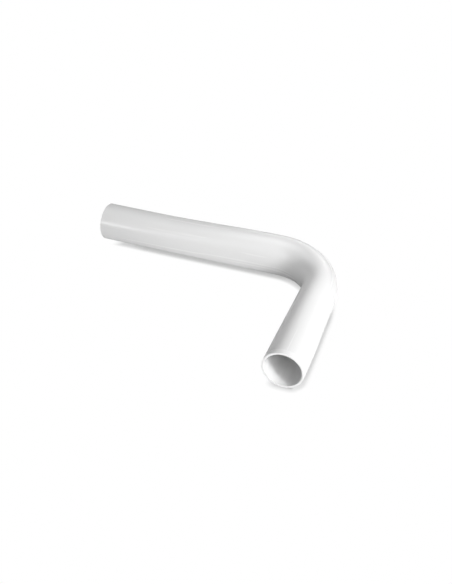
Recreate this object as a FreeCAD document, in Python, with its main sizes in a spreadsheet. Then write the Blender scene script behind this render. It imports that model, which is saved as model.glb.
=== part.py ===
"""Low-level flush pipe: one plain-ended plastic tube with a long leg and a short leg.

The pipe lies flat. The long leg runs along X at the back, the bend turns it through a
right angle, and the short leg comes forward along -Y. Each leg is round where a coupling
grips it. From there to the bend the tube eases into an oval, narrower across and taller, as
a hot-bent tube does, with its underside on the ground all the way. The origin is under the
middle of the pipe's box, on the surface that it lies on. All sizes are in millimetres.
"""

import FreeCAD, Part
import os
import Sketcher

# Each reach runs from where the axes of the two legs would cross to that leg's cut end, and
# the bend radius is that of the tube's axis. A grip is the round run at a cut end. The narrowing
# and the rise turn the round section into the bend's oval.
SIZES = {
    "outside_diameter": 42.0,
    "wall_thickness": 2.25,
    "long_reach": 274.0,
    "short_reach": 176.0,
    "bend_radius": 60.0,
    "bend_narrowing": 3.8,
    "bend_rise": 5.0,
    "long_grip": 64.0,
    "short_grip": 26.0,
    "rim_bevel": 0.25,
}

# Places that the sizes lead to: the line of each leg, the cut ends and the two ends of the bend.
LONG_LEG_Y = "(Sizes.short_reach - Sizes.outside_diameter / 2) / 2"
SHORT_LEG_X = "(Sizes.long_reach - Sizes.outside_diameter / 2) / 2"
LONG_END_X = "(-(Sizes.long_reach + Sizes.outside_diameter / 2) / 2)"
SHORT_END_Y = "(-(Sizes.short_reach + Sizes.outside_diameter / 2) / 2)"
BEND_START_X = f"({SHORT_LEG_X} - Sizes.bend_radius)"
BEND_END_Y = f"({LONG_LEG_Y} - Sizes.bend_radius)"

# Length over which each leg eases from the bend's oval to its round grip.
LONG_EASING = f"({BEND_START_X} - {LONG_END_X} - Sizes.long_grip)"
SHORT_EASING = f"({BEND_END_Y} - {SHORT_END_Y} - Sizes.short_grip)"

# What a size of the outside loses to give the same size of the bore.
LESS_WALLS = " - 2 * Sizes.wall_thickness"

# A rim keeps at least a third of the wall as flat cut face.
RIM_BEVEL = "min(Sizes.rim_bevel; Sizes.wall_thickness / 3)"

# Shares of an easing length at which a section is drawn, counted from the bend. At a share u the
# section keeps 1 - 3 u^2 + 2 u^3 of the bend's oval, which has no step at either end.
EASING_STATIONS = (0.2, 0.4, 0.6, 0.8)

ORIGIN = -1
START = 1
CENTRE = 3


def write_sizes(doc):
    """Put each driving size in a cell of its own, with a word for its alias."""
    sheet = doc.addObject("Spreadsheet::Sheet", "Sizes")
    for row, (name, value) in enumerate(SIZES.items(), start=1):
        sheet.set(f"A{row}", name)
        sheet.set(f"B{row}", str(value))
        sheet.setAlias(f"B{row}", name)
    doc.recompute()
    return sheet


def new_sketch(body, name, leg, place):
    """Start a sketch across a leg, on the body's own plane moved to a place along that leg."""
    plane_role = {"long": "YZ_Plane", "short": "XZ_Plane"}[leg]
    shift = {"long": place, "short": f"-{place}"}[leg]
    plane = next(item for item in body.Origin.OriginFeatures if item.Role == plane_role)
    sketch = body.newObject("Sketcher::SketchObject", name)
    sketch.AttachmentSupport = (plane, "")
    sketch.MapMode = "FlatFace"
    sketch.setExpression("AttachmentOffset.Base.z", shift)
    return sketch


def bind(sketch, constraint, name, expression):
    """Add a dimension to a sketch, name it and tie it to the sheet."""
    index = sketch.addConstraint(constraint)
    sketch.renameConstraint(index, name)
    sketch.setExpression(f"Constraints.{name}", expression)


def place_centre(sketch, curve, centre, leg, height):
    """Set a curve's centre on the line of a leg, half its height above the ground."""
    leg_line = {"long": LONG_LEG_Y, "short": SHORT_LEG_X}[leg]
    across = Sketcher.Constraint("DistanceX", ORIGIN, START, curve, CENTRE, centre.x)
    upward = Sketcher.Constraint("DistanceY", ORIGIN, START, curve, CENTRE, centre.y)
    bind(sketch, across, "leg_line", leg_line)
    bind(sketch, upward, "axis_height", f"({height}) / 2")


def leg_line_value(sheet, leg):
    """Give the present place of a leg's axis across that leg."""
    reach = {"long": sheet.short_reach, "short": sheet.long_reach}[leg]
    return (reach - sheet.outside_diameter / 2) / 2


def draw_round(body, sheet, name, leg, place):
    """Draw the round section of a leg: the outside and the bore."""
    sketch = new_sketch(body, name, leg, place)
    radius = sheet.outside_diameter / 2
    bore_radius = radius - sheet.wall_thickness
    centre = FreeCAD.Vector(leg_line_value(sheet, leg), radius, 0)
    along = FreeCAD.Vector(0, 0, 1)
    outside_size = "Sizes.outside_diameter"
    outside = sketch.addGeometry(Part.Circle(centre, along, radius))
    bore = sketch.addGeometry(Part.Circle(centre, along, bore_radius))
    sketch.addConstraint(Sketcher.Constraint("Coincident", outside, CENTRE, bore, CENTRE))
    bind(sketch, Sketcher.Constraint("Diameter", outside, 2 * radius), "outside", outside_size)
    bind(sketch, Sketcher.Constraint("Diameter", bore, 2 * bore_radius), "bore", outside_size + LESS_WALLS)
    place_centre(sketch, outside, centre, leg, outside_size)
    return sketch


def add_ellipse(sketch, centre, width, height, name, width_size, height_size):
    """Add an upright ellipse whose two axes are tied to the sheet."""
    top = centre + FreeCAD.Vector(0, height / 2, 0)
    side = centre + FreeCAD.Vector(width / 2, 0, 0)
    ellipse = sketch.addGeometry(Part.Ellipse(top, side, centre))
    sketch.exposeInternalGeometry(ellipse)
    tall_axis = ellipse + 1
    wide_axis = ellipse + 2
    sketch.addConstraint(Sketcher.Constraint("Vertical", tall_axis))
    bind(sketch, Sketcher.Constraint("Distance", tall_axis, height), f"{name}_height", height_size)
    bind(sketch, Sketcher.Constraint("Distance", wide_axis, width), f"{name}_width", width_size)
    return ellipse


def draw_oval(body, sheet, name, leg, place, share):
    """Draw an oval section of a leg, with a share of the bend's narrowing and rise."""
    sketch = new_sketch(body, name, leg, place)
    width = sheet.outside_diameter - share * sheet.bend_narrowing
    height = sheet.outside_diameter + share * sheet.bend_rise
    wall = sheet.wall_thickness
    centre = FreeCAD.Vector(leg_line_value(sheet, leg), height / 2, 0)
    width_size = f"Sizes.outside_diameter - {share} * Sizes.bend_narrowing"
    height_size = f"Sizes.outside_diameter + {share} * Sizes.bend_rise"
    outside = add_ellipse(sketch, centre, width, height, "outside", width_size, height_size)
    bore = add_ellipse(
        sketch,
        centre,
        width - 2 * wall,
        height - 2 * wall,
        "bore",
        width_size + LESS_WALLS,
        height_size + LESS_WALLS,
    )
    sketch.addConstraint(Sketcher.Constraint("Coincident", outside, CENTRE, bore, CENTRE))
    place_centre(sketch, outside, centre, leg, height_size)
    return sketch


def add_turning_axis(body):
    """Add the upright line through the bend's centre, which the oval section turns about."""
    ground = next(item for item in body.Origin.OriginFeatures if item.Role == "XY_Plane")
    axis = body.newObject("PartDesign::Line", "BendAxis")
    axis.AttachmentSupport = (ground, "")
    axis.MapMode = "ObjectZ"
    axis.setExpression("AttachmentOffset.Base.x", BEND_START_X)
    axis.setExpression("AttachmentOffset.Base.y", BEND_END_Y)
    return axis


def draw_easing(body, sheet, leg):
    """Draw the sections of one leg from the bend's oval to the round, in order along the leg."""
    bend_edge = {"long": BEND_START_X, "short": BEND_END_Y}[leg]
    easing = {"long": LONG_EASING, "short": SHORT_EASING}[leg]
    title = leg.capitalize()
    sections = [draw_oval(body, sheet, f"{title}BendSection", leg, bend_edge, 1.0)]
    for number, station in enumerate(EASING_STATIONS, start=1):
        share = round(1 - 3 * station**2 + 2 * station**3, 4)
        place = f"({bend_edge} - {station} * {easing})"
        sections.append(draw_oval(body, sheet, f"{title}OvalSection{number}", leg, place, share))
    sections.append(draw_round(body, sheet, f"{title}RoundSection", leg, f"({bend_edge} - {easing})"))
    return sections


def pad_grip(body, name, sketch, length, backwards):
    """Carry a round section straight along its leg, out to the cut end."""
    pad = body.newObject("PartDesign::Pad", name)
    pad.Profile = sketch
    pad.setExpression("Length", length)
    pad.Reversed = backwards
    return pad


def loft_easing(body, name, sections):
    """Blend the sections of one leg into each other, straight from each one to the next."""
    loft = body.newObject("PartDesign::AdditiveLoft", name)
    loft.Profile = sections[0]
    loft.Sections = sections[1:]
    loft.Ruled = True
    return loft


def rim_edges(shape):
    """Name the round edges of the flat faces, which are the rims of the two cut ends."""
    cut_faces = [face for face in shape.Faces if isinstance(face.Surface, Part.Plane)]
    rims = [edge for face in cut_faces for edge in face.Edges]
    return [
        f"Edge{number}"
        for number, edge in enumerate(shape.Edges, start=1)
        if any(edge.isSame(rim) for rim in rims)
    ]


def make_flush_pipe(doc, sheet):
    """Make both legs and the bend as one tube, then bevel the rims of the cut ends."""
    body = doc.addObject("PartDesign::Body", "FlushPipe")
    body.Label = "flush_pipe"
    long_sections = draw_easing(body, sheet, "long")
    short_sections = draw_easing(body, sheet, "short")
    bend_axis = add_turning_axis(body)
    doc.recompute()

    bend = body.newObject("PartDesign::Revolution", "Bend")
    bend.Profile = long_sections[0]
    bend.ReferenceAxis = (bend_axis, [""])
    bend.Angle = 90
    bend.Reversed = True
    doc.recompute()
    loft_easing(body, "LongEasing", long_sections)
    doc.recompute()
    loft_easing(body, "ShortEasing", short_sections)
    doc.recompute()
    pad_grip(body, "LongGrip", long_sections[-1], "Sizes.long_grip", True)
    doc.recompute()
    short_grip = pad_grip(body, "ShortGrip", short_sections[-1], "Sizes.short_grip", False)
    doc.recompute()

    rims = body.newObject("PartDesign::Chamfer", "Rims")
    rims.Base = (short_grip, rim_edges(short_grip.Shape))
    rims.setExpression("Size", RIM_BEVEL)
    doc.recompute()
    return body


def check(doc, sub_parts):
    """Stop before anything is written if an object failed or a shape is not one sound solid."""
    for item in doc.Objects:
        if "Invalid" in item.State or "Error" in item.State:
            raise RuntimeError(f"{item.Name} failed: {item.State}")
    for sub_part in sub_parts:
        shape = sub_part.Shape
        if shape.isNull() or not shape.isValid() or len(shape.Solids) != 1:
            raise RuntimeError(f"{sub_part.Label} is not one sound solid")


def main():
    doc = FreeCAD.newDocument("FlushPipe")
    sheet = write_sizes(doc)
    sub_parts = [make_flush_pipe(doc, sheet)]
    check(doc, sub_parts)
    os.makedirs("parts", exist_ok=True)
    for sub_part in sub_parts:
        sub_part.Shape.exportStep(f"parts/{sub_part.Label}.step")
        box = sub_part.Shape.optimalBoundingBox()
        print(f"{sub_part.Label}: {box.XLength:.2f} x {box.YLength:.2f} x {box.ZLength:.2f} mm")
        print(f"volume {sub_part.Shape.Volume:.1f} mm3 in {len(sub_part.Shape.Faces)} faces")


main()
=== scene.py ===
"""A white plastic flush pipe lying on a pale table, in soft studio light.

Everything is in metres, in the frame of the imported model: X along the long leg, the short leg
towards -Y, and the table at Z = 0.
"""

import math

import bpy
import numpy as np
from mathutils import Matrix, Vector


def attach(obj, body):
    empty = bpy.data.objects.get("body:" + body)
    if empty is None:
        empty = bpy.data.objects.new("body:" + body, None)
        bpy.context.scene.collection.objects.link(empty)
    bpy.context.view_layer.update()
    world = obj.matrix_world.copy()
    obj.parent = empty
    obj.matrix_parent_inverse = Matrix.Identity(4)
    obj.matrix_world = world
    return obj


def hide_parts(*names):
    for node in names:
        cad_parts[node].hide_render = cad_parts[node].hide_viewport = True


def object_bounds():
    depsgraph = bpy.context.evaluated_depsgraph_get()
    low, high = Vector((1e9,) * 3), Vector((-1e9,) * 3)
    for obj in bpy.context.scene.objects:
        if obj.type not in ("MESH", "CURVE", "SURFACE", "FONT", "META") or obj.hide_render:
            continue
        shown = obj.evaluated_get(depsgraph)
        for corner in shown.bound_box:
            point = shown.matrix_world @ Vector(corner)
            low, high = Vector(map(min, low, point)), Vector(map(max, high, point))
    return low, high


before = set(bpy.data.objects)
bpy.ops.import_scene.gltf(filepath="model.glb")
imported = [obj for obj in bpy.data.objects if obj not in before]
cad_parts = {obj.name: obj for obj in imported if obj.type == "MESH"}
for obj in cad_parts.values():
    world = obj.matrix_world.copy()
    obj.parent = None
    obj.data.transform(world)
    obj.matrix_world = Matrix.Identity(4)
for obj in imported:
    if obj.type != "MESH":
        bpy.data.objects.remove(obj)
cad_low, cad_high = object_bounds()

# Sizes of the tube that its box doesn't give. A grip is the round run at a cut end, and the
# narrowing and the rise turn the round section into the bend's oval.
WALL = 0.00225
BEND_RADIUS = 0.060
BEND_NARROWING = 0.0038
BEND_RISE = 0.005
LONG_GRIP = 0.064
SHORT_GRIP = 0.026
RIM_ROUND = 0.00025

# Grid steps of the tube's surface.
STEPS_ROUND = 144
STEPS_LONG_LEG = 32
STEPS_BEND = 72
STEPS_SHORT_LEG = 20
STEPS_RIM_ROUND = 6
STEPS_RIM_FLAT = 3


def runs(low, high, radius):
    """Give the lengths of the long leg, the bend and the short leg along the tube's axis."""
    long_run = (high.x - radius - BEND_RADIUS) - low.x
    short_run = (high.y - radius - BEND_RADIUS) - low.y
    return long_run, BEND_RADIUS * math.pi / 2, short_run


def bent_path(along, low, high, radius):
    """Carry a length along the tube's axis to a place on the ground and a sideways direction.

    The axis is a straight run along +X, a quarter turn to the right of BEND_RADIUS, and a straight
    run along -Y. Within the turn, an angle of length over radius sets the place on the circle.
    """
    long_run, bend_run, _ = runs(low, high, radius)
    turn = np.clip((along - long_run) / BEND_RADIUS, 0.0, math.pi / 2)
    before = np.minimum(along, long_run)
    after = np.maximum(along - long_run - bend_run, 0.0)
    place = np.stack(
        [
            low.x + before + BEND_RADIUS * np.sin(turn),
            high.y - radius - BEND_RADIUS * (1.0 - np.cos(turn)) - after,
            np.full_like(along, low.z),
        ],
        axis=-1,
    )
    sideways = np.stack([np.sin(turn), np.cos(turn), np.zeros_like(turn)], axis=-1)
    return place, sideways


def oval_share(along, low, high, radius):
    """Give how much of the bend's oval the section has at a length along the axis.

    It is 1 in the bend and 0 on the grips. Between them, at a share u of the way from the bend to
    the grip, it is 1 - 3 u^2 + 2 u^3.
    """
    long_run, bend_run, short_run = runs(low, high, radius)
    from_bend = np.maximum(
        (long_run - along) / (long_run - LONG_GRIP),
        (along - long_run - bend_run) / (short_run - SHORT_GRIP),
    )
    u = np.clip(from_bend, 0.0, 1.0)
    return 1.0 - 3.0 * u**2 + 2.0 * u**3


def wall_loop(low, high, radius):
    """Trace the tube's wall once round: outside, far rim, bore and near rim.

    Gives the length along the axis, the distance from the axis and the kind of surface of each
    point. A rim is a flat ring between two quarter circles of RIM_ROUND.
    """
    bore = radius - WALL
    long_run, bend_run, short_run = runs(low, high, radius)
    total = long_run + bend_run + short_run
    outside = np.concatenate(
        [
            np.linspace(RIM_ROUND, long_run, STEPS_LONG_LEG, endpoint=False),
            np.linspace(long_run, long_run + bend_run, STEPS_BEND, endpoint=False),
            np.linspace(long_run + bend_run, total - RIM_ROUND, STEPS_SHORT_LEG, endpoint=False),
        ]
    )
    quarter = np.linspace(0.0, math.pi / 2, STEPS_RIM_ROUND, endpoint=False)
    flat = np.linspace(radius - RIM_ROUND, bore + RIM_ROUND, STEPS_RIM_FLAT, endpoint=False)
    rim_along = np.concatenate(
        [
            total - RIM_ROUND + RIM_ROUND * np.sin(quarter),
            np.full_like(flat, total),
            total - RIM_ROUND + RIM_ROUND * np.cos(quarter),
        ]
    )
    rim_out = np.concatenate(
        [
            radius - RIM_ROUND + RIM_ROUND * np.cos(quarter),
            flat,
            bore + RIM_ROUND - RIM_ROUND * np.sin(quarter),
        ]
    )
    inside = np.append(outside[1:], total - RIM_ROUND)[::-1]
    along = np.concatenate([outside, rim_along, inside, total - rim_along])
    out = np.concatenate(
        [
            np.full_like(outside, radius),
            rim_out,
            np.full_like(inside, bore),
            rim_out.min() + rim_out.max() - rim_out,
        ]
    )
    kind = np.concatenate(
        [
            np.full(len(outside), 0),
            np.full(len(rim_along), 2),
            np.full(len(inside), 1),
            np.full(len(rim_along), 2),
        ]
    )
    return along, out, kind


def make_tube(low, high, materials):
    """Make the pipe: the wall loop turned round the axis, then bent along the path.

    A point at length s, distance r and angle a is at path(s) + w cos(a) sideways + (c + h sin(a)) up.
    The half width w is r less half the narrowing, the half height h is r plus half the rise, and the
    centre c is the outside's half height, each by the oval's share at s. The point's place on the
    unbent round tube, (s, r cos a, r sin a), is kept for patterns that follow the tube.
    """
    radius = (high.z - low.z - BEND_RISE) / 2
    along, out, kind = wall_loop(low, high, radius)
    angle = np.linspace(0.0, 2 * math.pi, STEPS_ROUND, endpoint=False)
    place, sideways = bent_path(along, low, high, radius)
    share = oval_share(along, low, high, radius)
    half_width = out - share * BEND_NARROWING / 2
    half_height = out + share * BEND_RISE / 2
    centre = radius + share * BEND_RISE / 2
    across = half_width[:, None] * np.cos(angle)[None, :]
    points = place[:, None, :] + across[:, :, None] * sideways[:, None, :]
    points[:, :, 2] += centre[:, None] + half_height[:, None] * np.sin(angle)[None, :]
    straight = np.stack(
        [
            np.broadcast_to(along[:, None], across.shape),
            out[:, None] * np.cos(angle)[None, :],
            out[:, None] * np.sin(angle)[None, :],
        ],
        axis=-1,
    )

    rows = len(along)
    row, column = np.meshgrid(np.arange(rows), np.arange(STEPS_ROUND), indexing="ij")
    next_row = (row + 1) % rows
    next_column = (column + 1) % STEPS_ROUND
    corners = [
        row * STEPS_ROUND + column,
        next_row * STEPS_ROUND + column,
        next_row * STEPS_ROUND + next_column,
        row * STEPS_ROUND + next_column,
    ]
    faces = np.stack(corners, axis=-1).reshape(-1, 4)
    finish = np.maximum(kind, np.roll(kind, -1))[row].reshape(-1)

    mesh = bpy.data.meshes.new("white_flush_pipe")
    mesh.from_pydata(points.reshape(-1, 3), [], faces)
    mesh.polygons.foreach_set("material_index", finish.astype(np.int32))
    mesh.polygons.foreach_set("use_smooth", np.ones(len(faces), dtype=bool))
    unbent = mesh.attributes.new("unbent", "FLOAT_VECTOR", "POINT")
    unbent.data.foreach_set("vector", straight.astype(np.float32).ravel())
    for material in materials:
        mesh.materials.append(material)
    mesh.update()
    pipe = bpy.data.objects.new("white_flush_pipe", mesh)
    bpy.context.scene.collection.objects.link(pipe)
    return pipe


def plain_plastic(name):
    """Start a white plastic: give the material, its nodes, its links and the tube's own coordinates."""
    material = bpy.data.materials.new(name)
    material.use_nodes = True
    nodes = material.node_tree.nodes
    links = material.node_tree.links
    unbent = nodes.new("ShaderNodeAttribute")
    unbent.attribute_name = "unbent"
    shader = nodes["Principled BSDF"]
    shader.inputs["IOR"].default_value = 1.5
    return material, nodes, links, unbent.outputs["Vector"], shader


def marks(nodes, links, place, lengths, detail, shift):
    """Give a soft random pattern whose marks are as long as lengths, in metres, on each axis."""
    mapping = nodes.new("ShaderNodeMapping")
    mapping.inputs["Location"].default_value = (shift, shift, shift)
    mapping.inputs["Scale"].default_value = tuple(1.0 / length for length in lengths)
    noise = nodes.new("ShaderNodeTexNoise")
    noise.inputs["Scale"].default_value = 1.0
    noise.inputs["Detail"].default_value = detail
    links.new(place, mapping.inputs["Vector"])
    links.new(mapping.outputs["Vector"], noise.inputs["Vector"])
    return noise.outputs["Fac"]


def spread(nodes, links, value, low, high, to_low, to_high, ease="LINEAR"):
    """Carry a value from the range low to high on to another range, and hold it there."""
    change = nodes.new("ShaderNodeMapRange")
    change.interpolation_type = ease
    change.inputs["From Min"].default_value = low
    change.inputs["From Max"].default_value = high
    change.inputs["To Min"].default_value = to_low
    change.inputs["To Max"].default_value = to_high
    links.new(value, change.inputs["Value"])
    return change.outputs["Result"]


def combine(nodes, links, operation, first, second):
    """Add, multiply or otherwise join two values."""
    join = nodes.new("ShaderNodeMath")
    join.operation = operation
    links.new(first, join.inputs[0])
    links.new(second, join.inputs[1])
    return join.outputs["Value"]


def relief(nodes, links, shader, heights):
    """Sum heights given in millimetres and raise the surface's shading by them."""
    height = heights[0]
    for added in heights[1:]:
        height = combine(nodes, links, "ADD", height, added)
    bump = nodes.new("ShaderNodeBump")
    bump.inputs["Strength"].default_value = 1.0
    bump.inputs["Distance"].default_value = 0.001
    links.new(height, bump.inputs["Height"])
    links.new(bump.outputs["Normal"], shader.inputs["Normal"])


def greys(nodes, links, shader, value, dark, light):
    """Colour the plastic between two neutral whites by a value from 0 to 1."""
    mix = nodes.new("ShaderNodeMix")
    mix.data_type = "RGBA"
    links.new(value, mix.inputs[0])
    mix.inputs[6].default_value = (dark, dark, dark, 1.0)
    mix.inputs[7].default_value = (light, light, light, 1.0)
    links.new(mix.outputs[2], shader.inputs["Base Color"])


def outside_plastic():
    """Drawn outside: long die streaks, fine draw lines, a slight waviness and a soft mottle."""
    material, nodes, links, unbent, shader = plain_plastic("white_plastic_outside")
    wave = marks(nodes, links, unbent, (0.12, 0.014, 0.014), 1.0, 3.1)
    streak = marks(nodes, links, unbent, (0.15, 0.004, 0.004), 1.0, 7.7)
    line = marks(nodes, links, unbent, (0.03, 0.0005, 0.0005), 1.0, 1.3)
    mottle = marks(nodes, links, unbent, (0.006, 0.006, 0.006), 3.0, 5.9)
    relief(
        nodes,
        links,
        shader,
        [
            spread(nodes, links, wave, 0.0, 1.0, 0.0, 0.015),
            spread(nodes, links, streak, 0.0, 1.0, 0.0, 0.001),
            spread(nodes, links, line, 0.0, 1.0, 0.0, 0.0001),
            spread(nodes, links, mottle, 0.0, 1.0, 0.0, 0.0006),
        ],
    )
    links.new(spread(nodes, links, streak, 0.3, 0.7, 0.255, 0.275), shader.inputs["Roughness"])
    greys(nodes, links, shader, spread(nodes, links, streak, 0.25, 0.75, 0.0, 1.0), 0.797, 0.804)
    return material


def bore_plastic():
    """Bore: duller than the outside, with flow lines along the tube; its whites sit a little lighter
    than the outside's, painted light that brightens the dim bore.
    """
    material, nodes, links, unbent, shader = plain_plastic("white_plastic_bore")
    flow = marks(nodes, links, unbent, (0.06, 0.003, 0.003), 2.0, 4.2)
    line = marks(nodes, links, unbent, (0.03, 0.0006, 0.0006), 1.0, 8.8)
    grain = marks(nodes, links, unbent, (0.0015, 0.0015, 0.0015), 2.0, 6.5)
    relief(
        nodes,
        links,
        shader,
        [
            spread(nodes, links, flow, 0.0, 1.0, 0.0, 0.02),
            spread(nodes, links, line, 0.0, 1.0, 0.0, 0.002),
            spread(nodes, links, grain, 0.0, 1.0, 0.0, 0.003),
        ],
    )
    links.new(spread(nodes, links, flow, 0.3, 0.7, 0.36, 0.46), shader.inputs["Roughness"])
    # Flow lines vary the white; the lighter whites than the outside's are painted light for the dim
    # bore.
    greys(nodes, links, shader, spread(nodes, links, flow, 0.25, 0.75, 0.0, 1.0), 0.81, 0.84)
    return material


def cut_plastic():
    """Sawn rim: matt, with fine straight saw marks across the end and a chalky grain."""
    material, nodes, links, unbent, shader = plain_plastic("white_plastic_cut")
    saw = marks(nodes, links, unbent, (0.05, 0.02, 0.00035), 2.0, 2.3)
    grain = marks(nodes, links, unbent, (0.0006, 0.0006, 0.0006), 2.0, 5.1)
    relief(
        nodes,
        links,
        shader,
        [
            spread(nodes, links, saw, 0.0, 1.0, 0.0, 0.02),
            spread(nodes, links, grain, 0.0, 1.0, 0.0, 0.008),
        ],
    )
    links.new(spread(nodes, links, saw, 0.3, 0.7, 0.48, 0.62), shader.inputs["Roughness"])
    greys(nodes, links, shader, spread(nodes, links, saw, 0.25, 0.75, 0.0, 1.0), 0.79, 0.83)
    return material


# Camera, solved from the outlines of the pipe in the picture.
PICTURE_HEIGHT = 584
FOCAL_PIXELS = 806.5
CAMERA_PLACE = (0.2798, -0.6335, 0.5325)
CAMERA_YAW = math.radians(-21.356)
CAMERA_PITCH = math.radians(37.117)
CAMERA_ROLL = math.radians(-0.363)


def make_camera():
    """Place the camera: the heading is turned by yaw from +Y, then tipped down and rolled."""
    forward = Vector(
        (
            math.sin(CAMERA_YAW) * math.cos(CAMERA_PITCH),
            math.cos(CAMERA_YAW) * math.cos(CAMERA_PITCH),
            -math.sin(CAMERA_PITCH),
        )
    )
    level = Vector((math.cos(CAMERA_YAW), -math.sin(CAMERA_YAW), 0.0))
    upright = level.cross(forward)
    right = level * math.cos(CAMERA_ROLL) + upright * math.sin(CAMERA_ROLL)
    up = upright * math.cos(CAMERA_ROLL) - level * math.sin(CAMERA_ROLL)
    data = bpy.data.cameras.new("camera")
    data.sensor_width = 36.0
    data.lens = FOCAL_PIXELS / PICTURE_HEIGHT * data.sensor_width
    camera = bpy.data.objects.new("camera", data)
    bpy.context.scene.collection.objects.link(camera)
    turn = Matrix((right, up, -forward)).transposed().to_4x4()
    camera.matrix_world = Matrix.Translation(CAMERA_PLACE) @ turn
    bpy.context.scene.camera = camera


def contact_shade(nodes, links, lean, reach):
    """Give how open the floor is towards a leaning direction, within a short reach."""
    towards = nodes.new("ShaderNodeCombineXYZ")
    towards.inputs["X"].default_value = lean[0]
    towards.inputs["Y"].default_value = lean[1]
    towards.inputs["Z"].default_value = lean[2]
    contact = nodes.new("ShaderNodeAmbientOcclusion")
    contact.inputs["Distance"].default_value = reach
    contact.samples = 16
    links.new(towards.outputs["Vector"], contact.inputs["Normal"])
    return contact.outputs["AO"]


# Stretches of the floor, in metres, where the painted contact shadow is shaped by place: along X
# where it is thinned at the far end and in the throat of the bend, where it starts, and where the
# floor right of the pipe begins, and along Y where it weakens beside the mouth.
FAR_END = (-0.140, -0.095)
INTO_THROAT = (0.075, 0.105)
PAST_THROAT = (0.115, 0.130)
SHADOW_START = (-0.139, -0.112)
RIGHT_OF_PIPE = (0.13, 0.14)
BESIDE_MOUTH = (-0.100, -0.060)

# How much the painted shadow is thinned, and the half width of the floor in metres.
FAR_END_THINNING = 0.20
THROAT_THINNING = 0.10
FLOOR_HALF = 3.0


def floor_shade(nodes, links):
    """Give the floor's painted shade: 1 in the open, less where the pipe is close above it.

    Under the pipe it is 1 - 0.54 c^3, where c goes from 0 to 1 as the floor closes. The floor right
    of the pipe and the strip before it have shades of their own, and the darkest one counts. Near
    the far end and beside the mouth it is held up to a least value, a painted fade set by place.
    """
    where = nodes.new("ShaderNodeTexCoord")
    split = nodes.new("ShaderNodeSeparateXYZ")
    links.new(where.outputs["Object"], split.inputs["Vector"])
    along = split.outputs["X"]
    open_side = contact_shade(nodes, links, (-0.6, 0.3, 0.74), 0.016)

    at_end = spread(nodes, links, along, *FAR_END, FAR_END_THINNING, 0.0, "SMOOTHSTEP")
    into_throat = spread(nodes, links, along, *INTO_THROAT, 0.0, THROAT_THINNING)
    past_throat = spread(nodes, links, along, *PAST_THROAT, THROAT_THINNING, 0.0)
    throat = combine(nodes, links, "MINIMUM", into_throat, past_throat)
    thinning = combine(nodes, links, "ADD", at_end, throat)
    thinned = combine(nodes, links, "ADD", open_side, thinning)
    fade = nodes.new("ShaderNodeMath")
    fade.operation = "POWER"
    fade.inputs[1].default_value = 3.0
    links.new(spread(nodes, links, thinned, 0.236, 0.486, 1.0, 0.0), fade.inputs[0])
    under = spread(nodes, links, fade.outputs["Value"], 0.0, 1.0, 1.0, 0.46)

    right = spread(nodes, links, open_side, 0.2, 0.5, 0.40, 1.0, "SMOOTHSTEP")
    not_right = spread(nodes, links, along, *RIGHT_OF_PIPE, 1.0, 0.0)
    right = combine(nodes, links, "MAXIMUM", right, not_right)

    before = contact_shade(nodes, links, (-0.25, 0.78, 0.57), 0.006)
    before = spread(nodes, links, before, 0.3, 1.0, 0.60, 1.0)

    # Painted fade: towards the far end the shade is held up by place along X.
    painted_fade_at_end = spread(nodes, links, along, *SHADOW_START, 1.0, 0.3, "SMOOTHSTEP")
    near_mouth = spread(nodes, links, split.outputs["Y"], *BESIDE_MOUTH, 0.82, 0.50)
    on_right = spread(nodes, links, along, *RIGHT_OF_PIPE, 0.0, 1.0)
    near_mouth = combine(nodes, links, "MINIMUM", near_mouth, on_right)

    shade = combine(nodes, links, "MINIMUM", under, right)
    shade = combine(nodes, links, "MINIMUM", shade, before)
    shade = combine(nodes, links, "MAXIMUM", shade, painted_fade_at_end)
    return combine(nodes, links, "MAXIMUM", shade, near_mouth)


def make_floor():
    """Lay a white floor: it is seen as an evenly lit sheet with a thin painted contact shadow."""
    half = FLOOR_HALF
    corners = [(-half, -half, 0.0), (half, -half, 0.0), (half, half, 0.0), (-half, half, 0.0)]
    mesh = bpy.data.meshes.new("floor")
    mesh.from_pydata(corners, [], [(0, 1, 2, 3)])
    floor = bpy.data.objects.new("floor", mesh)
    bpy.context.scene.collection.objects.link(floor)
    material = bpy.data.materials.new("pale_floor")
    material.use_nodes = True
    nodes = material.node_tree.nodes
    links = material.node_tree.links
    nodes.clear()
    output = nodes.new("ShaderNodeOutputMaterial")
    white = nodes.new("ShaderNodeBsdfDiffuse")
    white.inputs["Color"].default_value = (0.88, 0.88, 0.88, 1.0)
    sheet = nodes.new("ShaderNodeEmission")
    # The sheet's strength is the painted contact shadow.
    links.new(floor_shade(nodes, links), sheet.inputs["Strength"])
    seen = nodes.new("ShaderNodeLightPath")
    mix = nodes.new("ShaderNodeMixShader")
    links.new(seen.outputs["Is Camera Ray"], mix.inputs[0])
    links.new(white.outputs["BSDF"], mix.inputs[1])
    links.new(sheet.outputs["Emission"], mix.inputs[2])
    links.new(mix.outputs["Shader"], output.inputs["Surface"])
    mesh.materials.append(material)


def make_world():
    """Surround the scene with a white backdrop that is seen and mirrored but lights little."""
    world = bpy.data.worlds.new("studio")
    world.use_nodes = True
    nodes = world.node_tree.nodes
    links = world.node_tree.links
    seen = nodes.new("ShaderNodeLightPath")
    background = nodes["Background"]
    background.inputs["Color"].default_value = (1.0, 1.0, 1.0, 1.0)
    plain = spread(nodes, links, seen.outputs["Is Camera Ray"], 0.0, 1.0, 0.015, 1.0)
    mirrored = spread(nodes, links, seen.outputs["Is Glossy Ray"], 0.0, 1.0, 0.0, 0.40)
    glow = combine(nodes, links, "MAXIMUM", plain, mirrored)
    links.new(glow, background.inputs["Strength"])
    bpy.context.scene.world = world


# Middle of the studio, and places on the pipe that single lights face.
STUDIO_CENTRE = (0.0455, 0.0145, 0.02)
LEFT_END = (-0.140, 0.0587, 0.0305)
LEFT_MIDDLE = (-0.075, 0.0605, 0.0333)
LEG_MIDDLE = (-0.015, 0.0600, 0.0335)
BACK_MIDDLE = (0.05, 0.07, 0.02)


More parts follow.
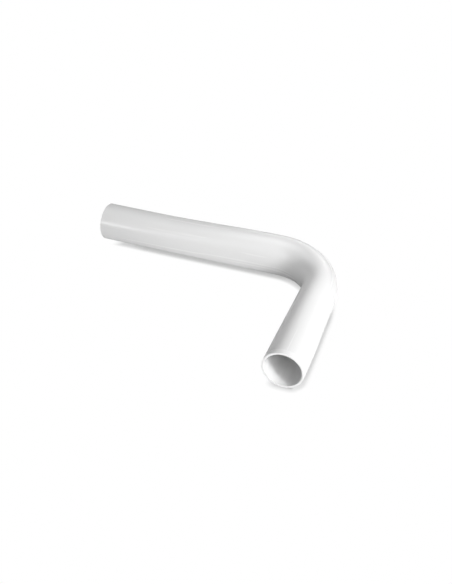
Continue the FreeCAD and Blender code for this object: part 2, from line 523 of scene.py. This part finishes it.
def around(azimuth, elevation, distance):
    """Find a place round the pipe: azimuth 0 is in front, 90 on the right; angles in degrees."""
    turn = math.radians(azimuth)
    rise = math.radians(elevation)
    reach = distance * math.cos(rise)
    return (
        STUDIO_CENTRE[0] + reach * math.sin(turn),
        STUDIO_CENTRE[1] - reach * math.cos(turn),
        STUDIO_CENTRE[2] + distance * math.sin(rise),
    )


def softbox(name, place, target, along, width, height, watts, gleam_only=False):
    """Hang a rectangular light that faces a target, with its width along a given direction.

    A light that is gleam_only is mirrored in the gloss and adds nothing else.
    """
    data = bpy.data.lights.new(name, "AREA")
    data.shape = "RECTANGLE"
    data.size = width
    data.size_y = height
    data.energy = watts
    light = bpy.data.objects.new(name, data)
    bpy.context.scene.collection.objects.link(light)
    back = (Vector(place) - Vector(target)).normalized()
    side = Vector(along)
    side = (side - back * side.dot(back)).normalized()
    turn = Matrix((side, back.cross(side), back)).transposed().to_4x4()
    light.matrix_world = Matrix.Translation(place) @ turn
    light.visible_camera = False
    light.visible_diffuse = not gleam_only


def level(azimuth):
    """Give the level direction across the view from an azimuth."""
    turn = math.radians(azimuth)
    return (math.cos(turn), math.sin(turn), 0.0)


def make_lights():
    """Light the pipe: a broad key on the right, weak fills in front, behind and above, thin strips."""
    c = STUDIO_CENTRE
    softbox("key", around(64.5, 23, 1.2), c, level(64.5), 0.18, 0.25, 6.2)
    softbox("key_wing", around(52, 26, 1.2), c, level(52), 0.40, 0.14, 3.35)
    softbox("key_high", around(66, 34, 1.2), c, level(66), 0.24, 0.16, 3.05)
    softbox("front_right", (0.55, -0.60, 0.90), c, (0.7, 0.7, 0), 0.40, 0.40, 0.46)
    softbox("front_high", around(24, 43, 1.2), c, level(24), 0.30, 0.30, 0.38)
    softbox("front_low", around(12, 8, 0.85), c, level(12), 0.18, 0.18, 1.07)
    softbox("top", (0.0, 0.12, 0.45), (0.0, 0.08, 0.02), (1, 0, 0), 0.30, 0.15, 0.38)
    softbox("top_bend", (0.12, 0.06, 0.40), (0.10, 0.05, 0.02), (1, 0, 0), 0.20, 0.20, 0.14)
    softbox("back_left", around(248, 45, 1.2), c, level(248), 0.60, 0.40, 0.95)
    softbox("back_right", around(130, 25, 1.2), c, level(130), 0.60, 0.50, 0.4)
    softbox("back_far", around(172, 18, 1.2), c, level(172), 1.00, 0.50, 0.9)
    softbox("back_near", (0.10, 0.45, 0.50), BACK_MIDDLE, (1, 0, 0), 0.40, 0.25, 0.2)
    softbox("back_low", (0.05, 0.55, 0.20), BACK_MIDDLE, (1, 0, 0), 0.40, 0.20, 0.3)
    softbox("end_strip", (-0.700, -0.963, 0.355), LEFT_END, (0.9, 0, 0.3), 0.05, 0.05, 1.5, True)
    softbox("mid_strip", (-0.545, -0.838, 0.675), LEFT_MIDDLE, (1, 0, 0), 0.14, 0.03, 0.2)
    softbox("right_strip", (-0.420, -0.962, 0.510), LEG_MIDDLE, (0.65, -0.42, -0.63), 0.22, 0.03, 0.37)
    softbox("top_strip", (-0.385, -0.130, 1.147), LEG_MIDDLE, (0.5, -0.86, 0), 0.46, 0.08, 0.62)


pipe = make_tube(cad_low, cad_high, [outside_plastic(), bore_plastic(), cut_plastic()])
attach(pipe, "root")
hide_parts("flush_pipe")
make_floor()
make_world()
make_camera()
make_lights()
bpy.context.scene.view_settings.view_transform = "Standard"
